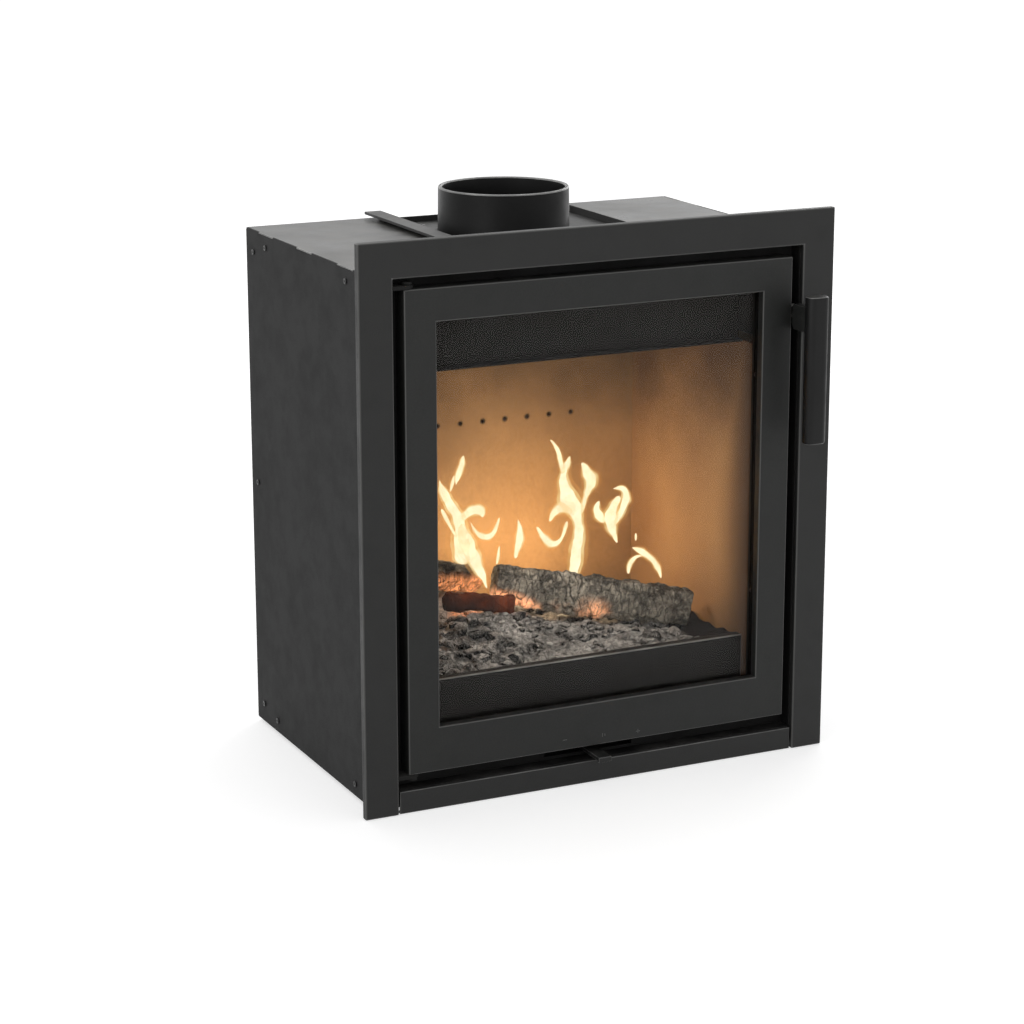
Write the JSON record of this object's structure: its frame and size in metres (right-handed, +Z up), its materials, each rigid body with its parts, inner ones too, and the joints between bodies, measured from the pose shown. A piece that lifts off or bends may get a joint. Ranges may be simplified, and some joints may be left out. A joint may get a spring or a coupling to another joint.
{
  "type": "fireplace insert",
  "caption": "Wood-burning fireplace insert: steel casing and surround, glazed hinged door with drop handle, lined firebox with logs, air control and flue collar.",
  "frame": {"origin": "middle of the width, in the plane of the surround's front face, at the surround's lower edge", "axes": "+X to the viewer's right, +Y into the wall from the surround's front face, +Z up"},
  "size_m": [0.57, 0.4305, 0.6344],
  "materials": {
    "black_paint": "satin stove paint",
    "casing_paint": "matt charcoal stove paint",
    "collar_paint": "satin stove paint",
    "dark_steel": "matt heat-proof paint",
    "bare_steel": "zinc plated",
    "cast_iron": "rough",
    "vermiculite": "pressed board, matt",
    "ceramic_glass": "clear",
    "rope_seal": "woven fibre",
    "charcoal": "charred",
    "ash": "powder"
  },
  "bodies": {
    "body": {"surround_frame": "black_paint", "surround_bottom_rail": "black_paint", "casing_left": "casing_paint", "casing_right": "casing_paint", "casing_back": "casing_paint", "casing_base": "casing_paint", "top_cover_left": "casing_paint", "top_cover_right": "casing_paint", "top_centre_plate": "casing_paint", "top_strap": "casing_paint", "support_rail_left": "dark_steel", "support_rail_right": "dark_steel", "levelling_foot_front_left": "bare_steel", "levelling_foot_front_right": "bare_steel", "levelling_foot_rear_left": "bare_steel", "levelling_foot_rear_right": "bare_steel", "firebox_shell": "dark_steel", "firebox_front": "dark_steel", "lining_back": "vermiculite", "lining_left": "vermiculite", "lining_right": "vermiculite", "lining_floor": "vermiculite", "baffle_lower": "vermiculite", "baffle_upper": "dark_steel", "air_wash_deflector": "dark_steel", "log_retainer": "dark_steel", "flue_collar": "collar_paint", "grate": "cast_iron", "ash_pan": "dark_steel", "air_box": "dark_steel", "air_duct": "dark_steel", "rear_air_channel": "dark_steel", "air_inlet_spigot": "casing_paint", "hinge_lug_lower": "dark_steel", "hinge_lug_upper": "dark_steel", "hinge_pin_lower": "bare_steel", "hinge_pin_upper": "bare_steel", "latch_keeper": "bare_steel", "ember_bed": "ash", "log_main": "charcoal", "log_rear": "charcoal", "log_front": "charcoal"},
    "door": {"door_frame": "black_paint", "door_glass": "ceramic_glass", "glass_gasket": "rope_seal", "glass_strip_left": "dark_steel", "glass_strip_right": "dark_steel", "glass_strip_top": "dark_steel", "glass_strip_bottom": "dark_steel", "door_rope": "rope_seal", "handle_shaft": "bare_steel"},
    "handle": {"handle_arm": "black_paint", "handle_grip": "black_paint"},
    "air_control": {"air_lever": "black_paint", "air_slider": "dark_steel"}
  },
  "joints": [
    {"name": "door_hinge", "type": "hinge", "parent": "body", "child": "door", "pos_m": [-0.227, 0.0095, 0.3], "axis": [0, 0, -1], "range_deg": [0, 110]},
    {"name": "handle_pivot", "type": "hinge", "parent": "door", "child": "handle", "pos_m": [0.2388, 0.0095, 0.5065], "axis": [-1, 0, 0], "range_deg": [0, 32]},
    {"name": "air_slide", "type": "slide", "parent": "body", "child": "air_control", "axis": [1, 0, 0], "range_m": [-0.045, 0.045]}
  ]
}
